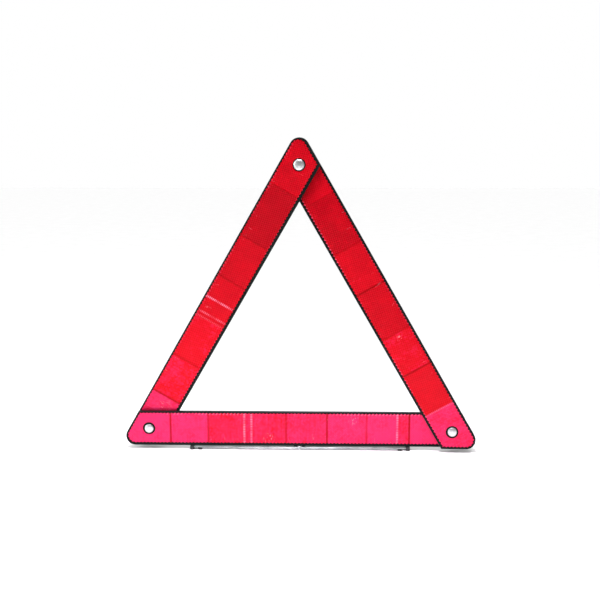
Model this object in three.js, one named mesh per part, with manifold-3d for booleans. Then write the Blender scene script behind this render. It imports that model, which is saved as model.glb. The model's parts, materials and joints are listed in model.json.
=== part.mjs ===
// A folding reflective warning triangle, in millimetres, +Z up, with its front facing -Y.
// Three flat plastic arms overlap in a ring, so that each arm lies over the next one at one corner
// and under the last one at the other. Two corners are riveted hinges, and the lower right one is a
// stud in an open slot. Two crossed steel strips turn under the base arm as the feet.
import * as THREE from "three";
import { mergeVertices } from "three/addons/utils/BufferGeometryUtils.js";
import Module from "manifold-3d";

const wasm = await Module();
wasm.setup();

// The triangle and its arms.
const PIVOT_SPACING = 376;
const ARM_WIDTH = 44;
const ARM_DEPTH = 6;
const ARM_GAP = 2; // between the faces of two arms at a corner
const CORNER_RADIUS = 12; // at the pointed end of each arm
const INNER_CORNER_RADIUS = 2;
const EDGE_BEVEL = 0.6;

// The gaps that keep the pieces apart.
const GAP = 0.3; // kept between neighbouring pieces
const RUNNING_GAP = 0.15; // kept where one piece turns in or on another
const CLINCH_GAP = 0.1; // between a clinched end and its washer
const LEANING_GAP = 0.4; // between a washer and an arm's face that leans a little against it

// The reflective strips and the recess that holds them.
const RIM_WIDTH = 2.1;
const RECESS_DEPTH = 0.9;
const TAPE_THICKNESS = 0.4;
const TAPE_BELOW_RIM = 0.2;
const TAPE_HOLE_RADIUS = 7.8;

// The shallow panels in the back of each arm.
const PANEL_DEPTH = 1.2;
const PANEL_BORDER = 3;
const PANEL_COUNT = 6;
const PANEL_RUN = 292; // length of the row of panels along the arm
const RIB_WIDTH = 2.4;

// The rivets through the corners.
const SHANK_RADIUS = 2.5;
const SHANK_CLEARANCE = 0.5;
const HEAD_HEIGHT = 2.1;
const HEAD_BRIM = 0.4; // height of the head's straight edge under its dome
const TOP_HEAD_RADIUS = 6.6;
const LOWER_LEFT_HEAD_RADIUS = 5.6;
const STUD_HEAD_RADIUS = 5.8;
const WASHER_RADIUS = 6;
const SPACER_THICKNESS = 1.6;
const CLINCH_WASHER_THICKNESS = 0.7;
const CLINCH_HEAD_RADIUS = 4;
const CLINCH_END_RADIUS = 3.2;
const CLINCH_HEAD_HEIGHT = 0.9;
const POCKET_RADIUS = 9;
const POCKET_DEPTH = 3;

// The stud's slot in the base arm, which runs square to the arm's slanted end.
const SLOT_TURN = -30;
const SLOT_REACH = ARM_WIDTH; // from the pivot to well clear of the arm's end
const SLOT_SEAT_WIDTH = 6.6;
const SLOT_MOUTH_WIDTH = 11.4; // at the slot's full reach
const FLANGE_RADIUS = 6.5;
const FLANGE_THICKNESS = 1.2;
const FLANGE_SLOT_WIDTH = 17;

// The feet: levels are counted down from the base arm's lower edge.
const LEG_WIDTH = 8;
const LEG_THICKNESS = 1.2;
const UPPER_LEG_LENGTH = 272;
const LOWER_LEG_LENGTH = 252;
const UPPER_LEG_TOP = 1.1;
const LOWER_LEG_TOP = 2.6;
const CAP_TOP_ON_UPPER_LEG = 0.35;
const CAP_TOP_ON_LOWER_LEG = 2.4;
const CAP_BOTTOM = 4.7;
const CAP_LENGTH = 5.5;
const CAP_OVERHANG = 1.2; // beyond the strip's end and sides
const LEG_PIN_RADIUS = 1.7;
const LEG_PIN_DEPTH = 10; // how far the pin goes up into the arm
const LEG_HEAD_RADIUS = 4.5;
const LEG_HEAD_CHAMFER_ACROSS = 0.68;
const LEG_HEAD_CHAMFER_ALONG = 0.2;
const LEG_BUSH_RADIUS = 3;
const LEG_BOSS_WIDTH = 14; // of the solid stretch of the arm round the pin
const LEG_BOSS_HEIGHT = 13;
const LEG_BOSS_EDGE = 1; // from the arm's lower edge to the boss
const LUG_WIDTH = 4; // the two lugs that stand either side of the bush
const LUG_DROP = 0.8;

// How finely the round surfaces are drawn.
const ROUND_STEPS = 40;
const CORNER_STEPS = 10;
const DOME_STEPS = 6;
const OVERCUT = 1; // how far a cutting solid reaches past the face it opens
const MERGE_DISTANCE = 1e-4;

const triangleCentreHeight = PIVOT_SPACING / 2 / Math.sqrt(3);
const layerStep = ARM_DEPTH + ARM_GAP;
const armTilt = Math.asin(layerStep / PIVOT_SPACING);
const hingeLean = Math.atan((layerStep * Math.sqrt(3)) / PIVOT_SPACING);
const halfSpacing = PIVOT_SPACING / 2 / Math.cos(armTilt);
const frontFace = -ARM_DEPTH / 2;
const backFace = ARM_DEPTH / 2;
const recessFloor = frontFace + RECESS_DEPTH;
const tapeFront = frontFace + TAPE_BELOW_RIM;
const headSeat = recessFloor - GAP;
const lowerEdge = -ARM_WIDTH / 2;

const plastic = new THREE.MeshStandardMaterial({ color: 0x0c0d0e, roughness: 0.45, metalness: 0 });
const tape = new THREE.MeshStandardMaterial({ color: 0xd80f2a, roughness: 0.2, metalness: 0 });
const rivetSteel = new THREE.MeshStandardMaterial({ color: 0xc9cdd0, roughness: 0.25, metalness: 1 });
const spacerNylon = new THREE.MeshStandardMaterial({ color: 0xd9d8d2, roughness: 0.5, metalness: 0 });
const legSteel = new THREE.MeshStandardMaterial({ color: 0xa9b0ae, roughness: 0.35, metalness: 1 });
const capRubber = new THREE.MeshStandardMaterial({ color: 0x141516, roughness: 0.7, metalness: 0 });

// A closed geometry as a solid that can be joined and cut.
function solid(geometry) {
  const bare = geometry.clone();
  bare.deleteAttribute("normal");
  bare.deleteAttribute("uv");
  const merged = mergeVertices(bare, MERGE_DISTANCE);
  return new wasm.Manifold(
    new wasm.Mesh({
      numProp: 3,
      vertProperties: new Float32Array(merged.attributes.position.array),
      triVerts: new Uint32Array(merged.index.array),
    }),
  );
}

// A solid as a geometry with flat-shaded faces.
function geometryOf(made) {
  const mesh = made.getMesh();
  const geometry = new THREE.BufferGeometry();
  geometry.setAttribute("position", new THREE.BufferAttribute(mesh.vertProperties, 3));
  geometry.setIndex(new THREE.BufferAttribute(mesh.triVerts, 1));
  geometry.computeVertexNormals();
  return geometry;
}

// A solid as a named mesh.
function piece(name, shape, material) {
  const mesh = new THREE.Mesh(geometryOf(shape), material);
  mesh.name = name;
  return mesh;
}

// A polygon of [x, z] corners with a radius at each, listed counter-clockwise as seen from -Y.
function roundedShape(corners) {
  const shape = new THREE.Shape();
  corners.forEach(({ at, radius }, i) => {
    const before = corners[(i + corners.length - 1) % corners.length].at;
    const after = corners[(i + 1) % corners.length].at;
    const toBefore = before.clone().sub(at).normalize();
    const toAfter = after.clone().sub(at).normalize();
    const half = Math.acos(toBefore.dot(toAfter)) / 2;
    const run = radius / Math.tan(half);
    const centre = toBefore.clone().add(toAfter).normalize();
    centre.multiplyScalar(radius / Math.sin(half)).add(at);
    const start = toBefore.clone().multiplyScalar(run).add(at).sub(centre);
    const end = toAfter.clone().multiplyScalar(run).add(at).sub(centre);
    const first = start.angle();
    const last = end.angle();
    start.add(centre);
    if (i === 0) shape.moveTo(start.x, start.y);
    else shape.lineTo(start.x, start.y);
    shape.absarc(centre.x, centre.y, radius, first, last, false);
  });
  shape.closePath();
  return shape;
}

// The outline of an arm set in by a margin: x along the arm, y across it towards the triangle's middle.
// Its ends are cut along the outer edges of the neighbouring arms.
function armShape(margin) {
  const half = ARM_WIDTH / 2;
  const slant = Math.PI / 3;
  const endOffset = half - margin;
  const outerX = halfSpacing + (endOffset + (half - margin) * Math.cos(slant)) / Math.sin(slant);
  const innerX = halfSpacing + (endOffset - (half - margin) * Math.cos(slant)) / Math.sin(slant);
  const corner = (x, y, radius) => ({ at: new THREE.Vector2(x, y), radius });
  return roundedShape([
    corner(-outerX, -half + margin, CORNER_RADIUS - margin),
    corner(outerX, -half + margin, CORNER_RADIUS - margin),
    corner(innerX, half - margin, INNER_CORNER_RADIUS),
    corner(-innerX, half - margin, INNER_CORNER_RADIUS),
  ]);
}

// A shape in x and z, given depth along y from one level to another, with an optional bevel all round.
function slab(shape, fromY, toY, bevel = 0) {
  const geometry = new THREE.ExtrudeGeometry(shape, {
    depth: toY - fromY - 2 * bevel,
    bevelEnabled: bevel > 0,
    bevelThickness: bevel,
    bevelSize: bevel,
    bevelOffset: -bevel,
    bevelSegments: 1,
    curveSegments: CORNER_STEPS,
  });
  geometry.rotateX(Math.PI / 2);
  geometry.translate(0, toY - bevel, 0);
  return solid(geometry);
}

// A cylinder along y between two levels, at a place in x and z.
function disc(radius, fromY, toY, x = 0, z = 0) {
  const geometry = new THREE.CylinderGeometry(radius, radius, toY - fromY, ROUND_STEPS);
  geometry.translate(x, (fromY + toY) / 2, z);
  return solid(geometry);
}

// A box about a place.
function block(sizeX, sizeY, sizeZ, x, y, z) {
  return solid(new THREE.BoxGeometry(sizeX, sizeY, sizeZ).translate(x, y, z));
}

// An arm with its tape recess, shank holes and back panels. A pocket in the back takes the clinched
// end of the rivet at the end that lies under its neighbour.
function armSolid(pocketEnd) {
  let made = slab(armShape(0), frontFace, backFace, EDGE_BEVEL);
  made = made.subtract(slab(armShape(RIM_WIDTH), frontFace - OVERCUT, recessFloor));
  const holeRadius = SHANK_RADIUS + SHANK_CLEARANCE;
  for (const x of [-halfSpacing, halfSpacing]) {
    made = made.subtract(disc(holeRadius, frontFace - OVERCUT, backFace + OVERCUT, x));
  }
  if (pocketEnd) {
    const x = pocketEnd * halfSpacing;
    made = made.subtract(disc(POCKET_RADIUS, backFace - POCKET_DEPTH, backFace + OVERCUT, x));
  }
  const bay = PANEL_RUN / PANEL_COUNT;
  const panelWidth = bay - RIB_WIDTH;
  const panelHeight = ARM_WIDTH - 2 * PANEL_BORDER;
  for (let i = 0; i < PANEL_COUNT; i += 1) {
    const x = (i + 0.5) * bay - PANEL_RUN / 2;
    made = made.subtract(block(panelWidth, 2 * PANEL_DEPTH, panelHeight, x, backFace, 0));
  }
  return made;
}

// A slot that runs from the right end's pivot out through the slanted end: its width at the pivot and
// at its full reach, and the levels it is cut between.
function endSlot(seatWidth, mouthWidth, fromY, toY) {
  const seat = seatWidth / 2;
  const mouth = mouthWidth / 2;
  const outline = new THREE.Shape();
  outline.moveTo(0, -seat);
  outline.lineTo(SLOT_REACH, -mouth);
  outline.lineTo(SLOT_REACH, mouth);
  outline.lineTo(0, seat);
  outline.absarc(0, 0, seat, Math.PI / 2, (3 * Math.PI) / 2, false);
  return slab(outline, fromY, toY).rotate([0, SLOT_TURN, 0]).translate([halfSpacing, 0, 0]);
}

// The base arm also takes the slot that the stud leaves by, with a wider and shallower one behind it
// for the stud's flange, and the feet's pin, in a solid boss between two lugs.
function baseArmSolid() {
  const bossDepth = backFace - EDGE_BEVEL - recessFloor;
  const bossY = recessFloor + bossDepth / 2;
  const bossZ = lowerEdge + LEG_BOSS_EDGE + LEG_BOSS_HEIGHT / 2;
  let made = armSolid(0).add(block(LEG_BOSS_WIDTH, bossDepth, LEG_BOSS_HEIGHT, 0, bossY, bossZ));
  const lugX = LEG_BUSH_RADIUS + GAP + LUG_WIDTH / 2;
  const lugDepth = ARM_DEPTH - 2 * EDGE_BEVEL;
  for (const x of [-lugX, lugX]) {
    made = made.add(block(LUG_WIDTH, lugDepth, 2 * LUG_DROP, x, 0, lowerEdge));
  }
  const holeDepth = LEG_PIN_DEPTH + GAP;
  const pinHole = disc(LEG_PIN_RADIUS + RUNNING_GAP, -OVERCUT, holeDepth)
    .rotate([90, 0, 0])
    .translate([0, 0, lowerEdge]);
  const throat = endSlot(SLOT_SEAT_WIDTH, SLOT_MOUTH_WIDTH, frontFace - OVERCUT, backFace + OVERCUT);
  const flangeLevel = backFace - POCKET_DEPTH;
  const flangeWay = endSlot(FLANGE_SLOT_WIDTH, FLANGE_SLOT_WIDTH, flangeLevel, backFace + OVERCUT);
  return made.subtract(throat).subtract(flangeWay).subtract(pinHole);
}

// A reflective strip: the recess's outline less a small gap, with a hole round each rivet.
function tapeSolid() {
  let made = slab(armShape(RIM_WIDTH + GAP), tapeFront, tapeFront + TAPE_THICKNESS);
  for (const x of [-halfSpacing, halfSpacing]) {
    made = made.subtract(disc(TAPE_HOLE_RADIUS, frontFace - OVERCUT, backFace, x));
  }
  return made;
}

// The base arm's strip is also cut away along the stud's slot.
function baseTapeSolid() {
  const seatWidth = SLOT_SEAT_WIDTH + 2 * GAP;
  const mouthWidth = SLOT_MOUTH_WIDTH + 2 * GAP;
  return tapeSolid().subtract(endSlot(seatWidth, mouthWidth, frontFace - OVERCUT, backFace));
}

// A turned piece about the y axis, from a profile of [radius, y] points.
function turned(points) {
  const profile = points.map(([radius, y]) => new THREE.Vector2(radius, y));
  return solid(new THREE.LatheGeometry(profile, ROUND_STEPS));
}

// A rivet with a domed head. Its underside is at y = 0 and the shank ends at shankEnd in a clinched rim.
function rivetSolid(headRadius, shankEnd) {
  const dome = [];
  const rise = HEAD_HEIGHT - HEAD_BRIM;
  for (let i = 1; i <= DOME_STEPS; i += 1) {
    const angle = (i / DOME_STEPS) * (Math.PI / 2);
    dome.push([headRadius * Math.sin(angle), -HEAD_BRIM - rise * Math.cos(angle)]);
  }
  return turned([
    [0, -HEAD_HEIGHT],
    ...dome,
    [headRadius, 0],
    [SHANK_RADIUS, 0],
    [SHANK_RADIUS, shankEnd - CLINCH_HEAD_HEIGHT],
    [CLINCH_HEAD_RADIUS, shankEnd - CLINCH_HEAD_HEIGHT],
    [CLINCH_END_RADIUS, shankEnd],
    [0, shankEnd],
  ]);
}

// A plain washer that stands on y = 0.
function washerSolid(outer, bore, thickness) {
  return turned([
    [bore, 0],
    [outer, 0],
    [outer, thickness],
    [bore, thickness],
    [bore, 0],
  ]);
}

// The rivet, the spacer washer between the arms and the clinch washer behind them, placed about the
// middle of the gap between the two arms.
function riveting(name, headRadius) {
  const half = layerStep / 2;
  const headLevel = -half + headSeat;
  const pocketFloor = half + backFace - POCKET_DEPTH;
  const washerLevel = pocketFloor + GAP;
  const clinchLevel = washerLevel + CLINCH_WASHER_THICKNESS + CLINCH_GAP + CLINCH_HEAD_HEIGHT;
  const bore = SHANK_RADIUS + RUNNING_GAP;
  const rivet = piece(`${name}_rivet`, rivetSolid(headRadius, clinchLevel - headLevel), rivetSteel);
  rivet.position.y = headLevel;
  const washer = piece(
    `${name}_rivet_washer`,
    washerSolid(WASHER_RADIUS, bore, CLINCH_WASHER_THICKNESS),
    rivetSteel,
  );
  washer.position.y = washerLevel;
  const spacer = piece(
    `${name}_spacer_washer`,
    washerSolid(WASHER_RADIUS, bore, SPACER_THICKNESS),
    spacerNylon,
  );
  spacer.position.y = -half + backFace + LEANING_GAP;
  return [rivet, washer, spacer];
}

// The stud of the lower right corner, with the flange that runs behind the slotted arm.
function studding() {
  const half = layerStep / 2;
  const headLevel = -half + headSeat;
  const flangeLevel = half + backFace - POCKET_DEPTH + LEANING_GAP;
  const clinchLevel = flangeLevel + FLANGE_THICKNESS + CLINCH_GAP + CLINCH_HEAD_HEIGHT;
  const stud = piece("lock_stud", rivetSolid(STUD_HEAD_RADIUS, clinchLevel - headLevel), rivetSteel);
  stud.position.y = headLevel;
  const bore = SHANK_RADIUS + RUNNING_GAP;
  const flange = piece("lock_stud_flange", washerSolid(FLANGE_RADIUS, bore, FLANGE_THICKNESS), rivetSteel);
  flange.position.y = flangeLevel;
  return [stud, flange];
}

// An arm with its strip and hardware, built along x about its own middle and leaned by one layer.
function armGroup(name, armMade, tapeMade, hardware) {
  const group = new THREE.Group();
  group.rotation.z = armTilt;
  group.add(piece(`${name}_arm`, armMade, plastic));
  group.add(piece(`${name}_reflector`, tapeMade, tape));
  for (const part of hardware) group.add(part);
  return group;
}

// The hardware of the corner where this arm lies over its neighbour, at the start of the arm. Its
// axis is square to both arms' lengths, so it leans across this arm by as much as the layers climb.
function overCorner(parts) {
  const axis = new THREE.Group();
  axis.rotation.x = hingeLean;
  axis.position.set(-halfSpacing, layerStep / 2, 0);
  for (const part of parts) axis.add(part);
  return axis;
}

// A steel strip of the feet with its pin hole, and a cap on each end. Both turn about the z axis.
function leg(name, length, top, capTop) {
  const middle = lowerEdge - top - LEG_THICKNESS / 2;
  const strip = block(length, LEG_THICKNESS, LEG_WIDTH, 0, 0, 0).subtract(
    disc(LEG_PIN_RADIUS + GAP, -LEG_THICKNESS, LEG_THICKNESS),
  );
  const flat = strip.rotate([90, 0, 0]).translate([0, 0, middle]);
  const parts = [piece(name, flat, legSteel)];
  const capHeight = CAP_BOTTOM - capTop;
  const sleeve = CAP_LENGTH - CAP_OVERHANG;
  for (const [side, label] of [
    [-1, "left"],
    [1, "right"],
  ]) {
    const x = side * (length / 2 + CAP_OVERHANG - CAP_LENGTH / 2);
    const z = lowerEdge - capTop - capHeight / 2;
    const body = block(CAP_LENGTH, LEG_WIDTH + 2 * CAP_OVERHANG, capHeight, x, 0, z);
    const hollowX = side * (length / 2 + GAP - sleeve);
    const hollow = block(2 * sleeve, LEG_WIDTH + 2 * GAP, LEG_THICKNESS + 2 * GAP, hollowX, 0, middle);
    parts.push(piece(`${name}_tip_${label}`, body.subtract(hollow), capRubber));
  }
  return parts;
}

// A turned piece of the feet's pivot, with its y axis laid along -z and its zero at the arm's edge.
function underArm(mesh) {
  mesh.rotation.x = -Math.PI / 2;
  mesh.position.z = lowerEdge;
  return mesh;
}

// The feet's pin with its head under both strips, and the bush between the arm and the upper strip.
function legPivot() {
  const headTop = LOWER_LEG_TOP + LEG_THICKNESS + RUNNING_GAP;
  const headBottom = CAP_BOTTOM - RUNNING_GAP;
  const pin = turned([
    [0, -LEG_PIN_DEPTH],
    [LEG_PIN_RADIUS, -LEG_PIN_DEPTH],
    [LEG_PIN_RADIUS, headTop],
    [LEG_HEAD_RADIUS, headTop],
    [LEG_HEAD_RADIUS, headBottom - LEG_HEAD_CHAMFER_ALONG],
    [LEG_HEAD_RADIUS - LEG_HEAD_CHAMFER_ACROSS, headBottom],
    [0, headBottom],
  ]);
  const bushLength = UPPER_LEG_TOP - 2 * RUNNING_GAP;
  const bush = washerSolid(LEG_BUSH_RADIUS, LEG_PIN_RADIUS + RUNNING_GAP, bushLength);
  const bushMesh = underArm(piece("leg_spacer_bush", bush, rivetSteel));
  bushMesh.position.z -= RUNNING_GAP;
  return [underArm(piece("leg_rivet", pin, rivetSteel)), bushMesh];
}

const baseHardware = [
  overCorner(riveting("lower_left", LOWER_LEFT_HEAD_RADIUS)),
  ...leg("upper_leg", UPPER_LEG_LENGTH, UPPER_LEG_TOP, CAP_TOP_ON_UPPER_LEG),
  ...leg("lower_leg", LOWER_LEG_LENGTH, LOWER_LEG_TOP, CAP_TOP_ON_LOWER_LEG),
  ...legPivot(),
];

// Each arm is the one before it turned a third of the way round the triangle's centre.
const arms = [
  armGroup("base", baseArmSolid(), baseTapeSolid(), baseHardware),
  armGroup("right", armSolid(1), tapeSolid(), [overCorner(studding())]),
  armGroup("left", armSolid(1), tapeSolid(), [overCorner(riveting("top", TOP_HEAD_RADIUS))]),
];

const triangle = new THREE.Group();
arms.forEach((arm, i) => {
  const turnedArm = new THREE.Group();
  arm.position.z = -triangleCentreHeight;
  turnedArm.rotation.y = (-i * 2 * Math.PI) / 3;
  turnedArm.add(arm);
  triangle.add(turnedArm);
});

// The origin is under the middle of the whole object, at the level that the feet rest on.
triangle.updateMatrixWorld(true);
const extent = new THREE.Box3().setFromObject(triangle, true);
const middle = extent.getCenter(new THREE.Vector3());
triangle.position.set(-middle.x, -middle.y, -extent.min.z);

const warningTriangle = new THREE.Group();
warningTriangle.add(triangle);

export default warningTriangle;
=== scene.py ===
"""The looks of a folding reflective warning triangle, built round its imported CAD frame. Units are metres."""

import json
import math

import bmesh
import bpy
from mathutils import Euler, Matrix, Vector
from mathutils.geometry import delaunay_2d_cdt


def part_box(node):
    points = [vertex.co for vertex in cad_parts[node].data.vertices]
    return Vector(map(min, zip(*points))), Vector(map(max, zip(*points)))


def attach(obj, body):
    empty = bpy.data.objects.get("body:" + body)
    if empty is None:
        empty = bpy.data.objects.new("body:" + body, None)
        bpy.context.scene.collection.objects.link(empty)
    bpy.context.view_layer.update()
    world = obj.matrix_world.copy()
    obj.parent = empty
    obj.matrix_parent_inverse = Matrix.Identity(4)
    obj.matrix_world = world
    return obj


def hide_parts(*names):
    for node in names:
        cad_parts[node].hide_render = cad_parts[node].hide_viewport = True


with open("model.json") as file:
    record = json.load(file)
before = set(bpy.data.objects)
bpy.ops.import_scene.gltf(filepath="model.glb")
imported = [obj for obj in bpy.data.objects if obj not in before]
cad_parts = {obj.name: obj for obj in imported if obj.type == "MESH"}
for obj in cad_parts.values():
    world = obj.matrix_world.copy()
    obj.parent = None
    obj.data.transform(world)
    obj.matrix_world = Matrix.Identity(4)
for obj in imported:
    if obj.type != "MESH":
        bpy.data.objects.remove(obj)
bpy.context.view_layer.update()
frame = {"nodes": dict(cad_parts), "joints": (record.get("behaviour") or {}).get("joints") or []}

MM = 0.001

# The arms, as in the CAD model.
PIVOT_SPACING = 376 * MM
ARM_WIDTH = 44 * MM
ARM_DEPTH = 6 * MM
LAYER_STEP = 8 * MM
CORNER_RADIUS = 12 * MM
INNER_CORNER_RADIUS = 2 * MM
RIM_WIDTH = 2.1 * MM
RECESS_DEPTH = 0.9 * MM
OUTSIDE_EASE = 0.11 * MM
SIDE_ROUNDING = 1.0 * MM
LIP_ROUNDING = 0.3 * MM
WALL_LEAN = 0.06 * MM
SHANK_HOLE_RADIUS = 3 * MM
POCKET_RADIUS = 9 * MM
POCKET_DEPTH = 3 * MM
POCKET_FLARE = 0.5 * MM
PANEL_RUN = 292 * MM
PANEL_COUNT = 6
PANEL_DEPTH = 1.2 * MM
PANEL_BORDER = 3 * MM
PANEL_FLARE = 0.8 * MM
PANEL_CORNER = 2.2 * MM
MOUTH_BREAK = 0.25 * MM
RIB_WIDTH = 2.4 * MM
BROKEN_EDGE = 0.3 * MM
EJECTOR_RADIUS = 2.3 * MM
EJECTOR_DEPTH = 0.15 * MM
EJECTOR_OFFSET = 9 * MM
OVERCUT = 1 * MM
GAP = 0.3 * MM
RUNNING_GAP = 0.15 * MM

# The stud's slot in the base arm, and the wider way behind it for the stud's flange: half widths.
SLOT_SEAT = 3.3 * MM
SLOT_MOUTH = 5.7 * MM
SLOT_TURN = 30
FLANGE_WAY = 8.4 * MM

# The reflective strips.
TAPE_SHIFT = {"base": 0.55 * MM, "right": -0.1 * MM, "left": -0.55 * MM}
FILM_SHIFT = {"base": 0.85 * MM, "right": -0.15 * MM, "left": -0.85 * MM}
TAPE_MARGIN = RIM_WIDTH + 0.4 * MM
TAPE_THICKNESS = 0.4 * MM
TAPE_BELOW_RIM = 0.2 * MM
TAPE_HOLE_RADIUS = 7.8 * MM
SCALLOP_PITCH = 4.4 * MM
SCALLOP_DEPTH = 1.1 * MM
SCALLOP_STEPS = 10
SEALED_EDGE = 0.9 * MM
SEALED_LEVEL = 0.17 * MM
SEAM_WIDTH = 0.9 * MM
SEAM_HEIGHT = 0.09 * MM
UNEVENNESS = 0.03 * MM
GRID_STEP = 1.6 * MM
GRID_ROWS = 16
SEAM_STEP = 0.45 * MM
SLIVER = 1e-4 * MM * MM

# The strips' pattern, in plain millimetres.
FILM_SPAN = 460.0
LATTICE_PITCH = 3.08
PRISM_PITCH = 0.62
PRISM_ANGLES = (12, 72, 132)
SEAM_HALF_WIDTH = 2.1

# Each strip's seams, as (place along the arm in mm, look: 0 dark to 1 bright), and the tone of each of its
# tiles, redder to pinker. The tiles' tone is partly their own and partly painted light: pinker where the light
# low in front falls brightest, on the base and towards the lower ends of the side arms, and on single tiles
# that catch a reflection. Both run along the arm from the end that lies over its neighbour.
SEAMS = {
    "base": [
        (-161, 0), (-114, 0.1), (-69, 1), (-60, 0.9), (-17, 0.15), (34, 0), (83, 0.2), (121, 1), (136, 0),
    ],
    "left": [(-153, 0.3), (-81, 0.3), (-25, 0.25), (5, 1), (25, 0.72), (31, 0.6), (90, 0.3), (143, 0.1)],
    "right": [(-155, 0.7), (-98, 0.1), (-46, 0.25), (17, 0.1), (73, 0.3), (140, 0.35)],
}
TONES_AND_PAINTED_LIGHT = {
    "base": [1.1, 1.02, 0.78, 0.85, 0.8, 0.88, 1.0, 1.06, 0.85, 1.1],
    "left": [0.42, 0.03, 0.25, 0.32, 0.4, 0.35, 0.55, 0.66, 0.95],
    "right": [0.95, 0.44, 0.56, 0.3, 0.42, 0.16, 0.5],
}

# Small clusters of scratches, as (place along, place across, radius) in mm.
SCRATCHES = {"base": [(-38, -12, 9), (67, 12, 8)], "left": [(155, 3, 11)], "right": [(-53, -1, 5)]}


# ---------------------------------------------------------------- places

lower_left_pivot = next(Vector(j["pos_m"]) for j in frame["joints"] if j["name"] == "left_arm_hinge")
arm_tilt = math.asin(LAYER_STEP / PIVOT_SPACING)
half_spacing = PIVOT_SPACING / 2 / math.cos(arm_tilt)
centre_height = PIVOT_SPACING / 2 / math.sqrt(3)


def arm_turn(index):
    """The turn of an arm about the triangle's centre, with its lean of one layer along its length."""
    turn = Matrix.Rotation(-index * math.radians(120), 4, "Y")
    return turn @ Matrix.Translation((0, 0, -centre_height)) @ Matrix.Rotation(arm_tilt, 4, "Z")


pivot_in_arm = Vector((-half_spacing, LAYER_STEP / 2, 0))
triangle_centre = lower_left_pivot - arm_turn(0) @ pivot_in_arm
ARM_INDEX = {"base": 0, "right": 1, "left": 2}


def arm_matrix(name):
    """Takes an arm's own frame to the row frame: x along it, y to the back, z towards the middle."""
    return Matrix.Translation(triangle_centre) @ arm_turn(ARM_INDEX[name])


def body_of(name):
    """The body that an arm and its strip ride on."""
    return "base" if name == "base" else f"{name}_arm"


def corner_matrix(name):
    """The frame of the rivet where the named arm lies over its neighbour: y runs along the hinge."""
    lean = Matrix.Rotation(math.atan(LAYER_STEP * math.sqrt(3) / PIVOT_SPACING), 4, "X")
    return arm_matrix(name) @ Matrix.Translation(pivot_in_arm) @ lean


# ---------------------------------------------------------------- mesh tools

def filleted(corners, steps):
    """A closed outline through (x, y, radius) corners, each rounded by its radius with that many steps."""
    points = []
    count = len(corners)
    for i, (x, y, radius) in enumerate(corners):
        here = Vector((x, y))
        before = (Vector(corners[i - 1][:2]) - here).normalized()
        after = (Vector(corners[(i + 1) % count][:2]) - here).normalized()
        if radius <= 0:
            points.append(here)
            continue
        half = before.angle(after) / 2
        centre = here + (before + after).normalized() * radius / math.sin(half)
        start = here + before * radius / math.tan(half) - centre
        end = here + after * radius / math.tan(half) - centre
        first = math.atan2(start.y, start.x)
        sweep = math.atan2(end.y, end.x) - first
        sweep = (sweep + math.pi) % (2 * math.pi) - math.pi
        for k in range(steps + 1):
            angle = first + sweep * k / steps
            points.append(centre + Vector((math.cos(angle), math.sin(angle))) * radius)
    return points


def arm_outline(margin, steps=12, shift=0.0):
    """The outline of an arm set in by a margin and moved across it, as (x, z) points, counter-clockwise
    seen from the front."""
    margin = margin + OUTSIDE_EASE
    half = ARM_WIDTH / 2 - margin
    slant = math.radians(60)
    outer = half_spacing + (half + half * math.cos(slant)) / math.sin(slant)
    inner = half_spacing + (half - half * math.cos(slant)) / math.sin(slant)
    acute = CORNER_RADIUS - margin
    blunt = max(INNER_CORNER_RADIUS - margin * 0.3, 1.2 * MM)
    corners = [(-outer, -half, acute), (outer, -half, acute), (inner, half, blunt), (-inner, half, blunt)]
    return [point + Vector((0, shift)) for point in filleted(corners, steps)]


def rounded_rectangle(width, height, radius, steps=4, x=0.0, z=0.0):
    """A rectangle's outline with rounded corners, counter-clockwise, about the point x, z."""
    w, h = width / 2, height / 2
    corners = [(x - w, z - h, radius), (x + w, z - h, radius), (x + w, z + h, radius), (x - w, z + h, radius)]
    return filleted(corners, steps)


def circle(radius, steps=48, x=0.0, z=0.0):
    """A circle's outline about the point x, z."""
    turn = 2 * math.pi / steps
    return [Vector((x + radius * math.cos(k * turn), z + radius * math.sin(k * turn))) for k in range(steps)]


def loft(rings):
    """A closed mesh through (outline, y) rings listed from back to front, capped at both ends."""
    mesh = bmesh.new()
    made = [[mesh.verts.new((p.x, y, p.y)) for p in outline] for outline, y in rings]
    count = len(made[0])
    for back, front in zip(made, made[1:]):
        for i in range(count):
            j = (i + 1) % count
            mesh.faces.new((back[i], back[j], front[j], front[i]))
    mesh.faces.new(made[-1])
    mesh.faces.new(list(reversed(made[0])))
    return mesh


def lathe(profile, segments=64):
    """A closed mesh turned about the y axis from (radius, y) points that start and end on it, front first."""
    mesh = bmesh.new()
    rings = []
    for radius, y in profile:
        if radius < 1e-7:
            rings.append([mesh.verts.new((0, y, 0))])
        else:
            rings.append([mesh.verts.new((p.x, y, p.y)) for p in circle(radius, segments)])
    for front, back in zip(rings, rings[1:]):
        for i in range(segments):
            j = (i + 1) % segments
            corners = [back[i % len(back)], back[j % len(back)], front[j % len(front)], front[i % len(front)]]
            unique = list(dict.fromkeys(corners))
            if len(unique) > 2:
                mesh.faces.new(unique)
    return mesh


def ring_lathe(profile, segments=64):
    """A closed ring turned about the y axis from a closed list of (radius, y) points."""
    mesh = bmesh.new()
    rings = [[mesh.verts.new((p.x, y, p.y)) for p in circle(radius, segments)] for radius, y in profile]
    for front, back in zip(rings, rings[1:] + rings[:1]):
        for i in range(segments):
            j = (i + 1) % segments
            mesh.faces.new((back[i], back[j], front[j], front[i]))
    return mesh


def facing_out(mesh):
    """Turns the faces of a closed bmesh outwards."""
    bmesh.ops.recalc_face_normals(mesh, faces=mesh.faces)
    return mesh


def to_object(name, mesh):
    """A bmesh as an object of the scene."""
    data = bpy.data.meshes.new(name)
    facing_out(mesh).to_mesh(data)
    mesh.free()
    made = bpy.data.objects.new(name, data)
    bpy.context.scene.collection.objects.link(made)
    return made


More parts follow.
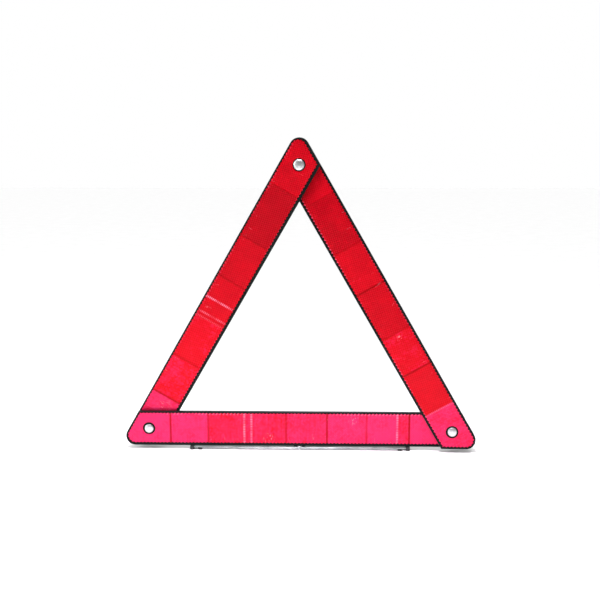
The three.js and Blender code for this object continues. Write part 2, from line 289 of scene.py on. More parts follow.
def joined(meshes):
    """Several bmeshes as one."""
    whole = bmesh.new()
    for mesh in meshes:
        data = bpy.data.meshes.new("part")
        facing_out(mesh).to_mesh(data)
        whole.from_mesh(data)
        bpy.data.meshes.remove(data)
        mesh.free()
    return whole


def boolean(target, cutter_mesh, operation):
    """Cuts or joins a bmesh into an object, exactly, and applies the result."""
    cutter = to_object("cutter", cutter_mesh)
    modifier = target.modifiers.new("boolean", "BOOLEAN")
    modifier.operation = operation
    modifier.solver = "EXACT"
    modifier.object = cutter
    bpy.context.view_layer.update()
    depsgraph = bpy.context.evaluated_depsgraph_get()
    result = bpy.data.meshes.new_from_object(target.evaluated_get(depsgraph), depsgraph=depsgraph)
    target.modifiers.clear()
    target.data = result
    bpy.data.objects.remove(cutter)


def place(piece, matrix, smooth_angle=35):
    """Keeps the piece's own coordinates as an attribute for its pattern, then moves its mesh to its place."""
    data = piece.data
    own = data.attributes.new("own_place", "FLOAT_VECTOR", "POINT")
    flat = [0.0] * (3 * len(data.vertices))
    data.vertices.foreach_get("co", flat)
    own.data.foreach_set("vector", flat)
    data.polygons.foreach_set("use_smooth", [True] * len(data.polygons))
    data.set_sharp_from_angle(angle=math.radians(smooth_angle))
    data.transform(matrix)


def finish_piece(piece, material, body, slot, node):
    """Gives a piece its material, hangs it on the body that it rides on, and hides the CAD node that it takes
    the place of.
    """
    piece.data.materials.clear()
    piece.data.materials.append(material)
    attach(piece, body)
    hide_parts(node)


# ---------------------------------------------------------------- materials

class Nodes:
    """A material's node tree, with short calls for the nodes that its pattern is made of."""

    def __init__(self, name):
        self.material = bpy.data.materials.new(name)
        self.material.use_nodes = True
        self.tree = self.material.node_tree
        self.shader = self.tree.nodes["Principled BSDF"]

    def feed(self, socket, value):
        """Links an output to a socket, or sets the socket to a value; None leaves it as it is."""
        if isinstance(value, bpy.types.NodeSocket):
            self.tree.links.new(value, socket)
        elif value is not None:
            socket.default_value = value

    def in_mm(self, metres):
        node = self.tree.nodes.new("ShaderNodeVectorMath")
        node.operation = "SCALE"
        self.feed(node.inputs[0], metres)
        node.inputs["Scale"].default_value = 1 / MM
        return node.outputs["Vector"]

    def place(self):
        """The piece's own coordinates, in millimetres."""
        node = self.tree.nodes.new("ShaderNodeAttribute")
        node.attribute_name = "own_place"
        return self.in_mm(node.outputs["Vector"])

    def object_place(self):
        """The object's coordinates, in millimetres."""
        return self.in_mm(self.tree.nodes.new("ShaderNodeTexCoord").outputs["Object"])

    def split(self, vector):
        node = self.tree.nodes.new("ShaderNodeSeparateXYZ")
        self.feed(node.inputs[0], vector)
        return node.outputs["X"], node.outputs["Y"], node.outputs["Z"]

    def stretch(self, vector, x=1.0, y=1.0, z=1.0):
        node = self.tree.nodes.new("ShaderNodeVectorMath")
        node.operation = "MULTIPLY"
        self.feed(node.inputs[0], vector)
        node.inputs[1].default_value = (x, y, z)
        return node.outputs["Vector"]

    def math(self, operation, a, b=None):
        node = self.tree.nodes.new("ShaderNodeMath")
        node.operation = operation
        self.feed(node.inputs[0], a)
        self.feed(node.inputs[1], b)
        return node.outputs[0]

    def add(self, a, b):
        return self.math("ADD", a, b)

    def times(self, a, b):
        return self.math("MULTIPLY", a, b)

    def noise(self, vector, scale, detail=2.0, roughness=0.5):
        node = self.tree.nodes.new("ShaderNodeTexNoise")
        self.feed(node.inputs["Vector"], vector)
        node.inputs["Scale"].default_value = scale
        node.inputs["Detail"].default_value = detail
        node.inputs["Roughness"].default_value = roughness
        return node.outputs["Fac"]

    def pebbles(self, vector, scale):
        node = self.tree.nodes.new("ShaderNodeTexVoronoi")
        node.feature = "SMOOTH_F1"
        self.feed(node.inputs["Vector"], vector)
        node.inputs["Scale"].default_value = scale
        return node.outputs["Distance"]

    def random(self, vector):
        node = self.tree.nodes.new("ShaderNodeTexWhiteNoise")
        node.noise_dimensions = "3D"
        self.feed(node.inputs["Vector"], vector)
        return node.outputs["Value"]

    def join_xyz(self, x, y, z):
        node = self.tree.nodes.new("ShaderNodeCombineXYZ")
        for socket, value in zip(node.inputs, (x, y, z)):
            self.feed(socket, value)
        return node.outputs[0]

    def between(self, value, low, high, to_low=0.0, to_high=1.0, smooth=True):
        node = self.tree.nodes.new("ShaderNodeMapRange")
        node.interpolation_type = "SMOOTHSTEP" if smooth else "LINEAR"
        for socket, given in zip(node.inputs, (value, low, high, to_low, to_high)):
            self.feed(socket, given)
        return node.outputs["Result"]

    def mix(self, factor, first, second, blend="MIX"):
        node = self.tree.nodes.new("ShaderNodeMix")
        node.data_type = "RGBA"
        node.blend_type = blend
        self.feed(node.inputs["Factor"], factor)
        self.feed(node.inputs["A"], first)
        self.feed(node.inputs["B"], second)
        return node.outputs["Result"]

    def steps(self, value, stops):
        """Steady grey levels along a line: stops are (place from 0 to 1, level)."""
        node = self.tree.nodes.new("ShaderNodeValToRGB")
        node.color_ramp.interpolation = "CONSTANT"
        elements = node.color_ramp.elements
        while len(elements) < len(stops):
            elements.new(0.5)
        for element, (at, level) in zip(elements, stops):
            element.position = at
            element.color = (level, level, level, 1)
        self.feed(node.inputs["Fac"], value)
        return node.outputs["Color"]

    def bump(self, height, distance, strength):
        node = self.tree.nodes.new("ShaderNodeBump")
        node.inputs["Strength"].default_value = strength
        node.inputs["Distance"].default_value = distance
        self.feed(node.inputs["Height"], height)
        return node.outputs["Normal"]

    def set(self, **values):
        names = {key: key.replace("_", " ").title() for key in values}
        names.update(specular="Specular IOR Level", color="Base Color")
        for key, value in values.items():
            self.feed(self.shader.inputs[names[key]], value)
        return self.material


def rgba(red, green, blue):
    """An opaque colour."""
    return (red, green, blue, 1.0)


def arm_plastic():
    """Black moulded plastic: a fine pebbled grain, faint flow marks, and paler rubbed patches."""
    nodes = Nodes("arm_plastic")
    place_mm = nodes.place()
    pebbles = nodes.pebbles(place_mm, 1.1)
    grain = nodes.noise(place_mm, 3.2, 3.0, 0.6)
    flow = nodes.noise(nodes.stretch(place_mm, 0.012, 0.1, 0.07), 1.0, 4.0, 0.55)
    scuff = nodes.noise(place_mm, 0.11, 6.0, 0.7)
    height = nodes.add(nodes.times(pebbles, -0.7), nodes.times(grain, 0.35))
    normal = nodes.bump(height, 0.06 * MM, 0.8)
    deep, worn = rgba(0.002, 0.0042, 0.0037), rgba(0.0042, 0.0078, 0.007)
    black = nodes.mix(nodes.between(flow, 0.35, 0.7), deep, worn)
    colour = nodes.mix(nodes.between(scuff, 0.62, 0.8, 0.0, 0.35), black, rgba(0.024, 0.031, 0.028))
    rough = nodes.between(flow, 0.3, 0.75, 0.3, 0.44)
    rough = nodes.add(rough, nodes.between(scuff, 0.55, 0.8, 0.0, 0.14))
    return nodes.set(color=colour, roughness=rough, normal=normal, specular=0.1)


def seam_lines(nodes, x, seams):
    """How far each point is on a dark seam, and on a bright one."""
    dark, bright = 0.0, 0.0
    for place_mm, look in seams:
        away = nodes.math("ABSOLUTE", nodes.math("SUBTRACT", x, place_mm))
        line = nodes.between(away, 0.2, SEAM_HALF_WIDTH, abs(look - 0.5) * 2, 0.0)
        if look < 0.5:
            dark = nodes.math("MAXIMUM", line, dark)
        else:
            bright = nodes.math("MAXIMUM", line, bright)
    return dark, bright


def scratch_clusters(nodes, place_mm, x, z, spots):
    """Thin random scratches, kept to a few small spots."""
    field = nodes.noise(nodes.stretch(place_mm, 0.9, 0.1, 0.25), 1.0, 8.0, 0.75)
    near = 0.0
    for along, across, radius in spots:
        far_x = nodes.math("SUBTRACT", x, along)
        far_z = nodes.math("SUBTRACT", z, across)
        square = nodes.add(nodes.times(far_x, far_x), nodes.times(far_z, far_z))
        near = nodes.math("MAXIMUM", nodes.between(square, 0.0, radius * radius, 1.0, 0.0), near)
    return nodes.times(nodes.between(field, 0.555, 0.61, 0.0, 0.7), near)


def tile_stops(seams, tones_and_painted_light):
    """Stops for the tiles' ramp: a steady level, the tile's tone with painted light in it, from each seam to
    the next.
    """
    starts = [0.0] + [0.5 + place_mm / FILM_SPAN for place_mm, _ in sorted(seams)]
    return list(zip(starts, tones_and_painted_light))


def reflective_film(name, seams, tones_and_painted_light, seed):
    """Glossy red prismatic film: a fine lattice of sealed lines over still finer prisms, in tiles of slightly
    different tone with painted light in it, pinker where brighter lit, with welded seams between them, a row
    of weld points along each edge, and painted glints among its scratches."""
    nodes = Nodes(name)
    place_mm = nodes.place()
    x, _, z = nodes.split(place_mm)
    along = nodes.add(nodes.math("DIVIDE", x, FILM_SPAN), 0.5)
    clouds = nodes.noise(nodes.stretch(place_mm, 1, 0, 1), 0.05, 3.0, 0.55)
    streaks = nodes.noise(nodes.stretch(place_mm, 0.55, 0, 0.03), 1.0, 3.0, 0.6)

    # Each tile's tone, its own mixed with painted light, and the seams: bright ones are broken up into dots.
    tone = nodes.steps(along, tile_stops(seams, tones_and_painted_light))
    dark_seam, bright_line = seam_lines(nodes, x, seams)
    dot = nodes.math("PINGPONG", nodes.math("DIVIDE", z, SCALLOP_PITCH / MM * 0.5), 0.5)
    worn = nodes.between(nodes.noise(nodes.join_xyz(x, seed, z), 0.09, 2.0), 0.38, 0.62, 0.4, 1.0)
    bright_seam = nodes.times(bright_line, nodes.between(dot, 0.1, 0.4, 0.1, 1.0))
    bright_seam = nodes.times(bright_seam, worn)

    # The fine lattice of sealed lines, and the welded points along the edges.
    u = nodes.math("DIVIDE", nodes.add(x, z), LATTICE_PITCH)
    v = nodes.math("DIVIDE", nodes.math("SUBTRACT", x, z), LATTICE_PITCH)
    to_line = nodes.math("MINIMUM", nodes.math("PINGPONG", u, 0.5), nodes.math("PINGPONG", v, 0.5))
    lattice = nodes.between(to_line, 0.03, 0.17, 1.0, 0.0)
    cell_tone = nodes.random(nodes.join_xyz(nodes.math("FLOOR", u), nodes.math("FLOOR", v), seed))
    across = nodes.math("ABSOLUTE", z)
    edge_row = nodes.between(across, ARM_WIDTH / MM / 2 - 4.6, ARM_WIDTH / MM / 2 - 3.7)
    bead = nodes.math("PINGPONG", nodes.math("DIVIDE", x, SCALLOP_PITCH / MM), 0.5)
    patchy = nodes.between(nodes.noise(nodes.join_xyz(x, seed, z), 0.024, 2.0), 0.46, 0.58, 0.05, 1.0)
    beads = nodes.times(nodes.times(edge_row, nodes.between(bead, 0.2, 0.36)), patchy)
    beads = nodes.times(beads, nodes.between(z, -2, 2, 0.3, 1.0))

    # Three crossing families of prism facets.
    facets = None
    for angle in PRISM_ANGLES:
        turn = math.radians(angle)
        x_share = nodes.times(x, math.cos(turn) / PRISM_PITCH)
        z_share = nodes.times(z, math.sin(turn) / PRISM_PITCH)
        ramp = nodes.add(x_share, z_share)
        ridge = nodes.math("PINGPONG", ramp, 0.5)
        facets = ridge if facets is None else nodes.math("MAXIMUM", facets, ridge)
    # Specks: painted glints of the prisms.
    painted_glints = nodes.between(nodes.noise(place_mm, 0.9, 5.0, 0.75), 0.715, 0.78)
    scratch_field = nodes.noise(nodes.stretch(place_mm, 0.35, 0.1, 0.05), 1.0, 8.0, 0.7)
    scratches = nodes.between(scratch_field, 0.65, 0.665)
    scratches = nodes.times(scratches, nodes.between(clouds, 0.5, 0.62))

    # deep, bright and pink are the one red film painted as shaded, lit and brightly lit: the level between
    # them paints light and shade as well as the film's own random tone.
    deep = rgba(0.27, 0.0002, 0.0012)
    bright = rgba(0.45, 0.0005, 0.0035)
    painted_lit_pink = rgba(0.62, 0.022, 0.11)
    pale = rgba(0.80, 0.008, 0.04)
    level = nodes.add(tone, nodes.times(nodes.math("SUBTRACT", cell_tone, 0.5), 0.16))
    level = nodes.add(level, nodes.times(nodes.math("SUBTRACT", streaks, 0.5), 0.4))
    level = nodes.add(level, nodes.times(nodes.math("SUBTRACT", clouds, 0.5), 0.5))
    colour = nodes.mix(nodes.between(level, 0.0, 0.6, smooth=False), deep, bright)
    colour = nodes.mix(nodes.between(level, 0.6, 1.1, smooth=False), colour, painted_lit_pink)
    colour = nodes.mix(nodes.times(lattice, 0.38), colour, pale)
    colour = nodes.mix(nodes.times(beads, 0.42), colour, rgba(0.9, 0.14, 0.26))
    colour = nodes.mix(dark_seam, colour, rgba(0.5, 0.12, 0.12), "MULTIPLY")
    colour = nodes.mix(nodes.times(bright_seam, 0.6), colour, rgba(0.95, 0.3, 0.45))
    scuffs = scratch_clusters(nodes, place_mm, x, z, SCRATCHES[name.split("_")[0]])
    # The pale pink marks are real scratches and scuffs, together with painted glints where the specks are.
    faint = nodes.times(nodes.math("MAXIMUM", painted_glints, scratches), 0.5)
    marks = nodes.math("MAXIMUM", faint, scuffs)
    colour = nodes.mix(nodes.times(marks, 0.6), colour, rgba(1, 0.45, 0.55))

    height = nodes.add(nodes.times(facets, 0.5), nodes.times(cell_tone, 0.3))
    height = nodes.add(height, nodes.times(lattice, -0.5))
    normal = nodes.bump(height, 0.14 * MM, 0.45)
    skin = nodes.bump(nodes.add(lattice, nodes.times(streaks, 0.6)), 0.02 * MM, 0.4)
    rough = nodes.between(clouds, 0.3, 0.7, 0.3, 0.42)
    rough = nodes.add(rough, nodes.times(lattice, 0.12))
    nodes.feed(nodes.shader.inputs["Coat Normal"], skin)
    nodes.shader.inputs["Coat Weight"].default_value = 0.1
    nodes.shader.inputs["Coat Roughness"].default_value = 0.12
    return nodes.set(color=colour, roughness=rough, normal=normal, metallic=0.45, specular=0.04)


def plated_steel(name, tint, roughness, turned=True):
    """Bright plated steel with fine turning marks and a few dull spots; on pieces that are not turned, painted
    shade darkens the rim of the head and what lies behind it.
    """
    nodes = Nodes(name)
    place_mm = nodes.place()
    x, y, z = nodes.split(place_mm)
    radius = nodes.math("SQRT", nodes.add(nodes.times(x, x), nodes.times(z, z)))
    marks = nodes.noise(nodes.join_xyz(radius, nodes.times(y, 0.6), 0.0), 5.0, 2.0)
    dull = nodes.noise(place_mm, 0.7, 5.0, 0.65)
    normal = nodes.bump(marks if turned else dull, 0.004 * MM, 0.3)
    darker = rgba(*(0.72 * channel for channel in tint))
    colour = nodes.mix(nodes.between(dull, 0.4, 0.75), rgba(*tint), darker)
    # Painted shade: on pieces that are not turned, dark grey from y = -1.5 mm up in the piece's own
    # millimetres, the rim and underside of a rivet's head, standing in for the shadow in the hole round the
    # head.
    painted_brim_shade = nodes.between(y, -1.5, -0.5, 0.0, 0.0 if turned else 0.85)
    colour = nodes.mix(painted_brim_shade, colour, rgba(0.09, 0.095, 0.095))
    rough = nodes.between(dull, 0.35, 0.75, roughness, roughness + 0.16)
    return nodes.set(color=colour, roughness=rough, normal=normal, metallic=1.0)


def leg_steel():
    """Spring-steel strip: brushed along its length, with a bluish bloom and a few brownish spots."""
    nodes = Nodes("leg_steel")
    place_mm = nodes.place()
    brushed = nodes.noise(nodes.stretch(place_mm, 0.05, 3.0, 3.0), 1.0, 4.0, 0.6)
    bloom = nodes.noise(place_mm, 0.06, 4.0, 0.6)
    spots = nodes.between(nodes.noise(place_mm, 0.55, 5.0, 0.7), 0.62, 0.74)
    colour = nodes.mix(nodes.between(bloom, 0.35, 0.7), rgba(0.26, 0.29, 0.28), rgba(0.17, 0.20, 0.195))
    colour = nodes.mix(nodes.times(spots, 0.35), colour, rgba(0.20, 0.17, 0.14))
    rough = nodes.between(brushed, 0.3, 0.7, 0.26, 0.42)
    normal = nodes.bump(brushed, 0.02 * MM, 0.5)
    return nodes.set(color=colour, roughness=rough, normal=normal, metallic=1.0)


def spacer_nylon():
    """Natural nylon: ivory, faintly mottled, with a fine grain."""
    nodes = Nodes("spacer_nylon")
    place_mm = nodes.place()
    mottle = nodes.noise(place_mm, 0.5, 4.0)
    fine = nodes.noise(place_mm, 4.0, 2.0)
    colour = nodes.mix(nodes.between(mottle, 0.3, 0.7), rgba(0.70, 0.68, 0.61), rgba(0.80, 0.79, 0.74))
    normal = nodes.bump(fine, 0.02 * MM, 0.4)
    rough = nodes.between(mottle, 0.3, 0.7, 0.4, 0.55)
    return nodes.set(color=colour, roughness=rough, normal=normal, subsurface_weight=0.1)


def tip_rubber():
    """Matt black rubber with a fine grain and a dusty bloom."""
    nodes = Nodes("tip_rubber")
    place_mm = nodes.place()
    grain = nodes.noise(place_mm, 3.5, 3.0, 0.6)
    dust = nodes.noise(place_mm, 0.4, 5.0, 0.65)
    colour = nodes.mix(nodes.between(dust, 0.45, 0.75), rgba(0.013, 0.014, 0.014), rgba(0.04, 0.041, 0.04))
    rough = nodes.between(dust, 0.35, 0.75, 0.55, 0.75)
    return nodes.set(color=colour, roughness=rough, normal=nodes.bump(grain, 0.05 * MM, 0.6))


PLASTIC = arm_plastic()
RIVET = plated_steel("rivet_steel", (0.60, 0.62, 0.62), 0.3, False)
WASHER = plated_steel("washer_steel", (0.78, 0.79, 0.79), 0.22)
STEEL = leg_steel()
NYLON = spacer_nylon()
RUBBER = tip_rubber()


# ---------------------------------------------------------------- arms

def arc(centre_margin, centre_y, radius, start, end, steps):
    """(margin, y) points on an arc, for the rounding of an arm's edges."""
    made = []
    for k in range(steps + 1):
        angle = math.radians(start + (end - start) * k / steps)
        made.append((centre_margin - radius * math.cos(angle), centre_y + radius * math.sin(angle)))
    return made


def arm_body(shift):
    """An arm's closed body: rounded sides, a flat rim, a rounded lip and the floor of the tape's recess."""
    front, back = -ARM_DEPTH / 2, ARM_DEPTH / 2
    r, lip = SIDE_ROUNDING, LIP_ROUNDING
    steps = [(r + 1.5 * MM, back)]
    steps += arc(r, back - r, r, 90, 0, 6)
    steps += arc(r, front + r, r, 0, -90, 6)
    recess = [(RIM_WIDTH - lip, front)]
    recess += [(RIM_WIDTH - lip * 0.3, front + lip * 0.3), (RIM_WIDTH, front + lip)]
    recess += [(RIM_WIDTH + WALL_LEAN, front + RECESS_DEPTH)]
    rings = [(arm_outline(margin), y) for margin, y in steps]
    return loft(rings + [(arm_outline(margin, shift=shift), y) for margin, y in recess])


def hole(radius, x):
    """A cutter for a round hole through an arm's depth."""
    return loft([(circle(radius, x=x), ARM_DEPTH), (circle(radius, x=x), -ARM_DEPTH)])


def flared(outline_at, floor_y, mouth_y, flare):
    """A cutter for a recess in the back face: its walls lean outwards, and its mouth is broken."""
    rings = [
        (outline_at(flare + MOUTH_BREAK), mouth_y + OVERCUT),
        (outline_at(flare + MOUTH_BREAK), mouth_y + 0.01 * MM),
        (outline_at(flare), mouth_y - 0.2 * MM),
        (outline_at(0.25 * MM), floor_y + 0.05 * MM),
        (outline_at(0), floor_y),
    ]
    return loft(rings)


def panel_cutters():
    """The row of shallow panels in an arm's back."""
    back = ARM_DEPTH / 2
    bay = PANEL_RUN / PANEL_COUNT
    cutters = []
    for i in range(PANEL_COUNT):
        x = (i + 0.5) * bay - PANEL_RUN / 2

        def outline_at(grow, x=x):
            width = bay - RIB_WIDTH + 2 * (grow - PANEL_FLARE)
            height = ARM_WIDTH - 2 * PANEL_BORDER + 2 * (grow - PANEL_FLARE)
            return rounded_rectangle(width, height, PANEL_CORNER + grow, x=x)

        cutters.append(flared(outline_at, back - PANEL_DEPTH, back, PANEL_FLARE))
    return cutters


def slot_outline(seat, mouth):
    """The outline of a slot that runs from the right end's rivet out through the slanted end of the arm."""
    turn = Matrix.Rotation(math.radians(SLOT_TURN), 2)
    reach = ARM_WIDTH
    sides = [Vector((0, -seat)), Vector((reach, -mouth)), Vector((reach, mouth)), Vector((0, seat))]
    bend = [math.radians(angle) for angle in range(100, 270, 10)]
    sides += [Vector((seat * math.cos(angle), seat * math.sin(angle))) for angle in bend]
    return [turn @ point + Vector((half_spacing, 0)) for point in sides]


def slot_cutters():
    """The stud's slot through the base arm's right end, and the wider shallow one behind for its flange."""
    back, front = ARM_DEPTH / 2, -ARM_DEPTH / 2
    throat = slot_outline(SLOT_SEAT, SLOT_MOUTH)
    wide = slot_outline(FLANGE_WAY, FLANGE_WAY)
    wider = slot_outline(FLANGE_WAY + BROKEN_EDGE, FLANGE_WAY + BROKEN_EDGE)
    through = [(throat, back + OVERCUT), (throat, front - OVERCUT)]
    behind = [(wider, back + OVERCUT), (wider, back)]
    behind += [(wide, back - BROKEN_EDGE), (wide, back - POCKET_DEPTH)]
    return [loft(through), loft(behind)]


def make_arm(name, pocket_end):
    """One arm with its holes, back panels and the pocket at the end that lies under its neighbour."""
    back = ARM_DEPTH / 2
    arm = to_object(f"{name}_arm_moulding", arm_body(TAPE_SHIFT[name]))
    if name == "base":
        add_leg_boss(arm)
    cutters = panel_cutters()
    for side in (-1, 1):
        cutters.append(hole(SHANK_HOLE_RADIUS, side * half_spacing))
    boolean(arm, joined(cutters), "DIFFERENCE")
    if pocket_end:
        x = pocket_end * half_spacing

        def outline_at(grow):
            return circle(POCKET_RADIUS - POCKET_FLARE + grow, 72, x)

        boolean(arm, flared(outline_at, back - POCKET_DEPTH, back, BROKEN_EDGE), "DIFFERENCE")
    if name == "base":
        for cutter in slot_cutters():
            boolean(arm, cutter, "DIFFERENCE")
        add_leg_hole(arm)
    for cutter in ejector_marks():
        boolean(arm, cutter, "DIFFERENCE")
    place(arm, arm_matrix(name))
    finish_piece(arm, PLASTIC, body_of(name), "arm_plastic", f"{name}_arm")


def ejector_marks():
    """Shallow round marks that the mould's ejector pins leave on the back, near the ends."""
    back = ARM_DEPTH / 2
    off = EJECTOR_OFFSET
    made = []
    for x in (-PANEL_RUN / 2 - off, PANEL_RUN / 2 + off):
        for z in (-off, off):
            outline = circle(EJECTOR_RADIUS, 32, x, z)
            made.append(loft([(outline, back + OVERCUT), (outline, back - EJECTOR_DEPTH)]))
    return made


# ---------------------------------------------------------------- feet

LEG_EDGE = -ARM_WIDTH / 2
LEG_WIDTH = 8 * MM
LEG_THICKNESS = 1.2 * MM
LEG_BUSH_RADIUS = 3 * MM
LEG_PIN_RADIUS = 1.7 * MM
LEG_HEAD_RADIUS = 4.5 * MM
LEG_BOSS_WIDTH = 14 * MM
LEG_BOSS_HEIGHT = 13 * MM
LEG_PIN_DEPTH = 10 * MM
BOSS_BELOW_BACK = 0.62 * MM
LUG_WIDTH = 4 * MM
LUG_DROP = 0.8 * MM
CAP_LENGTH = 5.5 * MM
CAP_OVERHANG = 1.2 * MM
CAP_ROUNDING = 0.5 * MM
CAP_CORNER = 1.6 * MM
GROOVE_WIDTH = 0.5 * MM
GROOVE_DEPTH = 0.2 * MM
GROOVE_PITCH = 1.52 * MM
STRIP_EASE = 0.22 * MM
BOSS_EASE = 0.25 * MM

DOWN = Matrix.Rotation(math.radians(-90), 4, "X")  # lays the y axis along -z


def add_leg_boss(arm):
    """The solid boss round the feet's pin, and the two lugs either side of the bush."""
    front, back = -ARM_DEPTH / 2, ARM_DEPTH / 2
    boss_z = LEG_EDGE + 1 * MM + LEG_BOSS_HEIGHT / 2
    block = rounded_rectangle(LEG_BOSS_WIDTH, LEG_BOSS_HEIGHT, 1.5 * MM, z=boss_z)
    width, height = LEG_BOSS_WIDTH - 2 * BOSS_EASE, LEG_BOSS_HEIGHT - 2 * BOSS_EASE
    small = rounded_rectangle(width, height, 1.3 * MM, z=boss_z)
    top = back - BOSS_BELOW_BACK
    boss = loft([(small, top), (block, top - BOSS_EASE), (block, front + RECESS_DEPTH + 0.05 * MM)])
    boolean(arm, boss, "UNION")
    for side in (-1, 1):
        x = side * (LEG_BUSH_RADIUS + GAP + LUG_WIDTH / 2)
        lug = rounded_rectangle(LUG_WIDTH, 2 * LUG_DROP, 0.35 * MM, x=x, z=LEG_EDGE)
        width, height = LUG_WIDTH - 2 * BOSS_EASE, 2 * LUG_DROP - 2 * BOSS_EASE
        inset = rounded_rectangle(width, height, 0.2 * MM, x=x, z=LEG_EDGE)
        depth = ARM_DEPTH / 2 - 0.6 * MM
        rings = [(inset, depth), (lug, depth - BOSS_EASE), (lug, BOSS_EASE - depth), (inset, -depth)]
        boolean(arm, loft(rings), "UNION")


def add_leg_hole(arm):
    """The hole that the feet's pin goes up into."""
    outline = circle(LEG_PIN_RADIUS + RUNNING_GAP, 40)
    drill = loft([(outline, 2 * OVERCUT), (outline, -LEG_PIN_DEPTH - GAP)])
    bmesh.ops.transform(drill, matrix=Matrix.Translation((0, 0, LEG_EDGE)) @ DOWN, verts=drill.verts)
    boolean(arm, drill, "DIFFERENCE")


def make_leg(name, matrix):
    """A steel strip with eased edges and its pin hole, as long and as high as its CAD node."""
    low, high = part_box(name)
    length = (high - low).x / math.cos(arm_tilt) - LEG_WIDTH * math.tan(arm_tilt)
    middle = (low.z + high.z) / 2
    half, ease = LEG_THICKNESS / 2, STRIP_EASE
    wide = rounded_rectangle(length, LEG_WIDTH, 1.2 * MM, 5)
    slim = rounded_rectangle(length - 2 * ease, LEG_WIDTH - 2 * ease, 1.0 * MM, 5)
    rings = [(slim, half), (wide, half - ease), (wide, ease - half), (slim, -half)]
    strip = to_object(f"{name}_strip", loft(rings))
    bore = circle(LEG_PIN_RADIUS + GAP, 40)
    boolean(strip, loft([(bore, 3 * MM), (bore, -3 * MM)]), "DIFFERENCE")
    strip.data.transform(DOWN)
    place(strip, matrix @ Matrix.Translation((0, 0, middle)))
    finish_piece(strip, STEEL, name, "leg_steel", name)


def make_cap(name, side, matrix):
    """A rubber cap on a strip's end: a rounded sleeve with grip grooves under it."""
    node = f"{name}_tip_{side}"
    low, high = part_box(node)
    height = high.z - low.z
    sign = -1 if side == "left" else 1
    strip_low, strip_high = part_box(name)
    strip_middle = (strip_low.z + strip_high.z) / 2
    width = LEG_WIDTH + 2 * CAP_OVERHANG
    middle = (low + high) / 2
    local = matrix.inverted() @ middle
    round_all = min(CAP_ROUNDING, height * 0.2)

    def section(inset):
        return rounded_rectangle(CAP_LENGTH - 2 * inset, width - 2 * inset, CAP_CORNER - inset, 6)

    half = height / 2
    rings = [
        (section(round_all), half),
        (section(round_all * 0.3), half - round_all * 0.3),
        (section(0), half - round_all),
        (section(0), round_all - half),
        (section(round_all * 0.3), round_all * 0.3 - half),
        (section(round_all), -half),
    ]
    cap = to_object(f"{node}_cap", loft(rings))
    slot_length = 2 * (CAP_LENGTH - CAP_OVERHANG)
    level = middle.z - strip_middle
    sleeve = rounded_rectangle(slot_length, LEG_WIDTH + 2 * GAP, 2 * GAP, x=-sign * CAP_LENGTH / 2)
    reach = LEG_THICKNESS / 2 + GAP
    boolean(cap, loft([(sleeve, level + reach), (sleeve, level - reach)]), "DIFFERENCE")
    for k in (-1, 0, 1):
        groove = rounded_rectangle(GROOVE_WIDTH, width + 2 * OVERCUT, 0.1 * MM, 2, x=k * GROOVE_PITCH)
        boolean(cap, loft([(groove, half + OVERCUT), (groove, half - GROOVE_DEPTH)]), "DIFFERENCE")
    cap.data.transform(DOWN)
    place(cap, matrix @ Matrix.Translation((local.x, 0, middle.z)))
    finish_piece(cap, RUBBER, name, "tip_rubber", node)


def make_leg_pivot(matrix):
    """The feet's pin with its pan head under the strips, and the bush that holds them off the arm."""
    low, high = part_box("leg_rivet")
    top = high.z - low.z
    head = LEG_HEAD_RADIUS
    seat = top - (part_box("lower_leg")[0].z - low.z) + RUNNING_GAP
    profile = [(0, 0), (LEG_PIN_RADIUS - 0.3 * MM, 0), (LEG_PIN_RADIUS, 0.3 * MM), (LEG_PIN_RADIUS, seat)]
    profile += [(head - 0.1 * MM, seat), (head, seat + 0.1 * MM), (head, top - 0.25 * MM)]
    profile += [(head * 0.95, top - 0.08 * MM), (head * 0.86, top), (head * 0.3, top)]
    profile += [(head * 0.22, top - 0.2 * MM), (0, top - 0.2 * MM)]
    pin = to_object("leg_pivot_pin", lathe(profile))
    pin.data.transform(DOWN)
    place(pin, matrix @ Matrix.Translation((0, 0, high.z)))
    finish_piece(pin, RIVET, "base", "rivet_steel", "leg_rivet")

    low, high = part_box("leg_spacer_bush")
    ring = washer_mesh(LEG_BUSH_RADIUS, LEG_PIN_RADIUS + RUNNING_GAP, high.z - low.z)
    bush = to_object("leg_pivot_bush", ring)
    bush.data.transform(DOWN)
    place(bush, matrix @ Matrix.Translation((0, 0, high.z)))
    finish_piece(bush, RIVET, "base", "rivet_steel", "leg_spacer_bush")


# ---------------------------------------------------------------- strips of film

def smooth_step(value):
    """An even rise from 0 to 1."""
    value = min(max(value, 0.0), 1.0)
    return value * value * (3 - 2 * value)


def film_height(x, z, seams, seed):
    """How far the film's face stands off its base level: welded seams, and a slow unevenness of each tile."""
    height = 0.0
    for seam in seams:
        height = max(height, SEAM_HEIGHT * (1 - smooth_step(abs(x - seam) / SEAM_WIDTH)))
    slow = math.sin(x * 61 + seed) * math.cos(z * 95 + seed * 2) + 0.6 * math.sin(x * 133 + z * 57 + seed)
    return height + UNEVENNESS * slow


def scalloped(points, pitch, depth):
    """An outline drawn finely and nipped in between evenly spaced points along it."""
    closed = points + [points[0]]
    lengths = [0.0]
    for a, b in zip(closed, closed[1:]):
        lengths.append(lengths[-1] + (b - a).length)
    total = lengths[-1]
    teeth = round(total / pitch)
    samples = teeth * SCALLOP_STEPS
    made, k = [], 0
    for i in range(samples):
        at = total * i / samples
        while lengths[k + 1] < at:
            k += 1
        share = (at - lengths[k]) / max(lengths[k + 1] - lengths[k], 1e-12)
        a, b = closed[k], closed[k + 1]
        along = (b - a).normalized()
        inward = Vector((-along.y, along.x))
        nip = 0.5 + 0.5 * math.cos(2 * math.pi * i / SCALLOP_STEPS)
        made.append(a.lerp(b, share) + inward * depth * nip)
    return made


